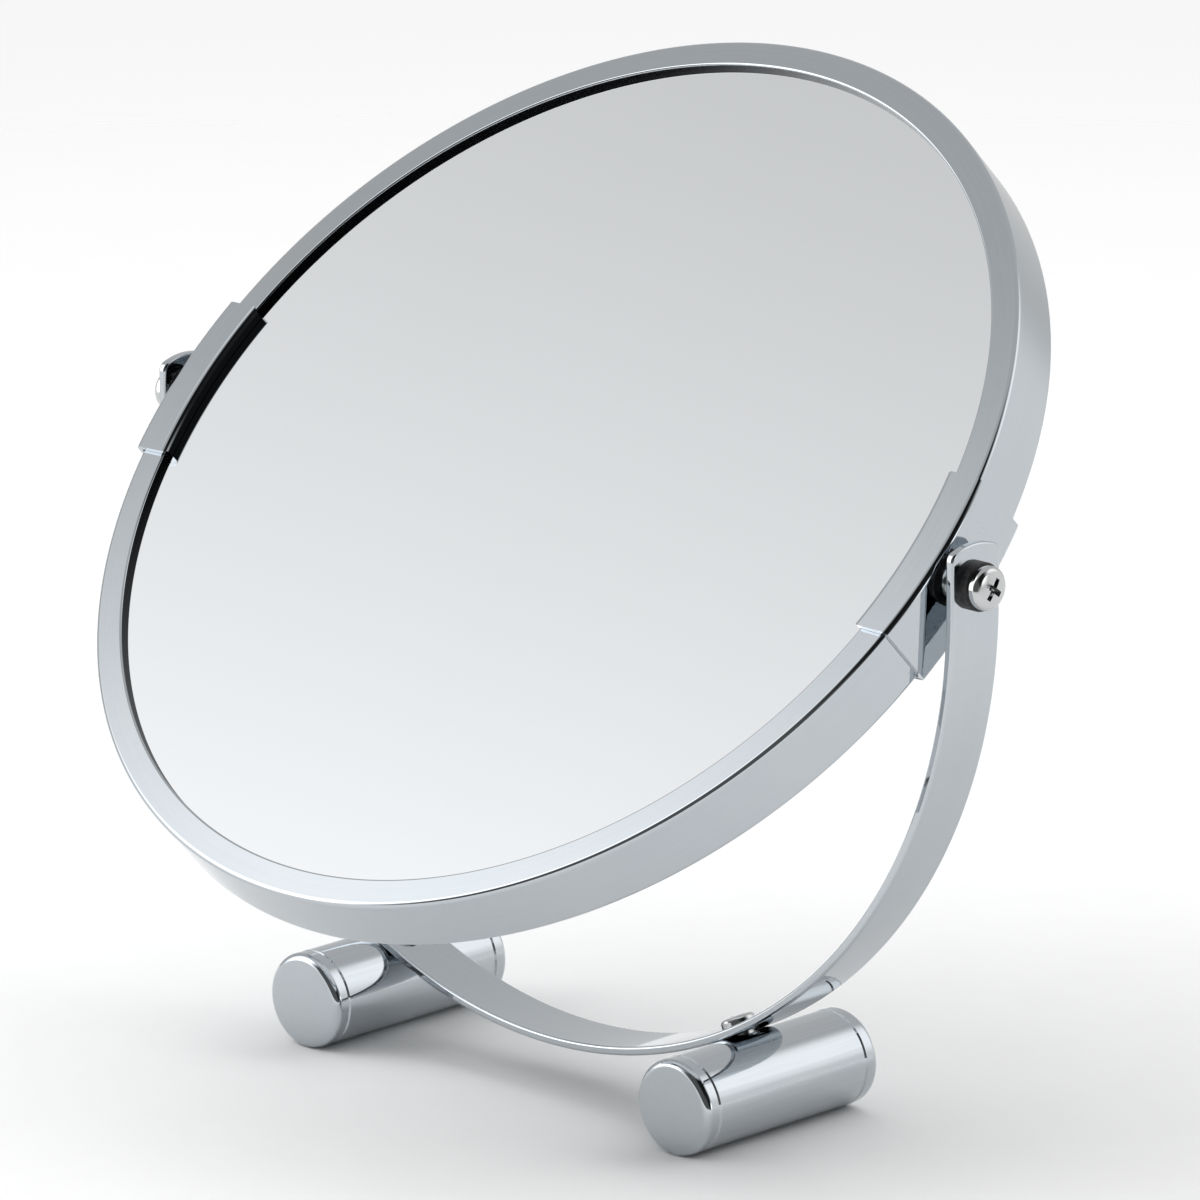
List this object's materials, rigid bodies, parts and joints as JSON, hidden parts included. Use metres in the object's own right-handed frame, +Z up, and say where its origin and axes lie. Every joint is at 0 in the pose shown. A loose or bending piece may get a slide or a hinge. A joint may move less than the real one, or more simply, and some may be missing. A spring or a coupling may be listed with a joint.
{
  "type": "countertop mirror",
  "caption": "Round double-sided table mirror in a chromed hoop that tilts and flips over on pivot screws in a U-shaped strip yoke standing on round bar feet.",
  "frame": {"origin": "on the table top, midway between the yoke's arms and between the feet's front and rear ends", "axes": "+Z up, +X along the pivot axis to the right of someone facing the mirror, front towards -Y"},
  "size_m": [0.1864, 0.1308, 0.1617],
  "materials": {
    "chromed_strip": "polished chrome plate",
    "chromed_hoop": "polished chrome plate",
    "chromed_clip": "polished chrome plate",
    "chromed_foot": "polished chrome plate, fine drawn grain",
    "chromed_cap": "polished chrome plate",
    "screw": "satin nickel-chrome plate",
    "washer": "satin nickel-chrome plate",
    "hidden_steel": "zinc plated, as turned",
    "mirror_glass": "silvered float glass",
    "friction_plastic": "black nylon",
    "board": "grey board"
  },
  "bodies": {
    "stand": {"yoke_strip": "chromed_strip", "left_foot_tube": "chromed_foot", "left_foot_front_cap": "chromed_cap", "left_foot_rear_cap": "chromed_cap", "left_foot_insert": "hidden_steel", "left_foot_screw": "screw", "right_foot_tube": "chromed_foot", "right_foot_front_cap": "chromed_cap", "right_foot_rear_cap": "chromed_cap", "right_foot_insert": "hidden_steel", "right_foot_screw": "screw"},
    "head": {"rim_hoop": "chromed_hoop", "front_glass": "mirror_glass", "rear_glass": "mirror_glass", "backing_board": "board", "glass_spacer_ring": "friction_plastic", "left_clip": "chromed_clip", "left_pivot_screw": "screw", "left_pivot_washer": "friction_plastic", "left_friction_washer": "friction_plastic", "left_pivot_sleeve": "washer", "left_pivot_nut": "hidden_steel", "right_clip": "chromed_clip", "right_pivot_screw": "screw", "right_pivot_washer": "friction_plastic", "right_friction_washer": "friction_plastic", "right_pivot_sleeve": "washer", "right_pivot_nut": "hidden_steel"}
  },
  "joints": [
    {"name": "head_tilt", "type": "hinge", "parent": "stand", "child": "head", "pos_m": [0, 0, 0.09943], "axis": [1, 0, 0], "continuous": true}
  ]
}
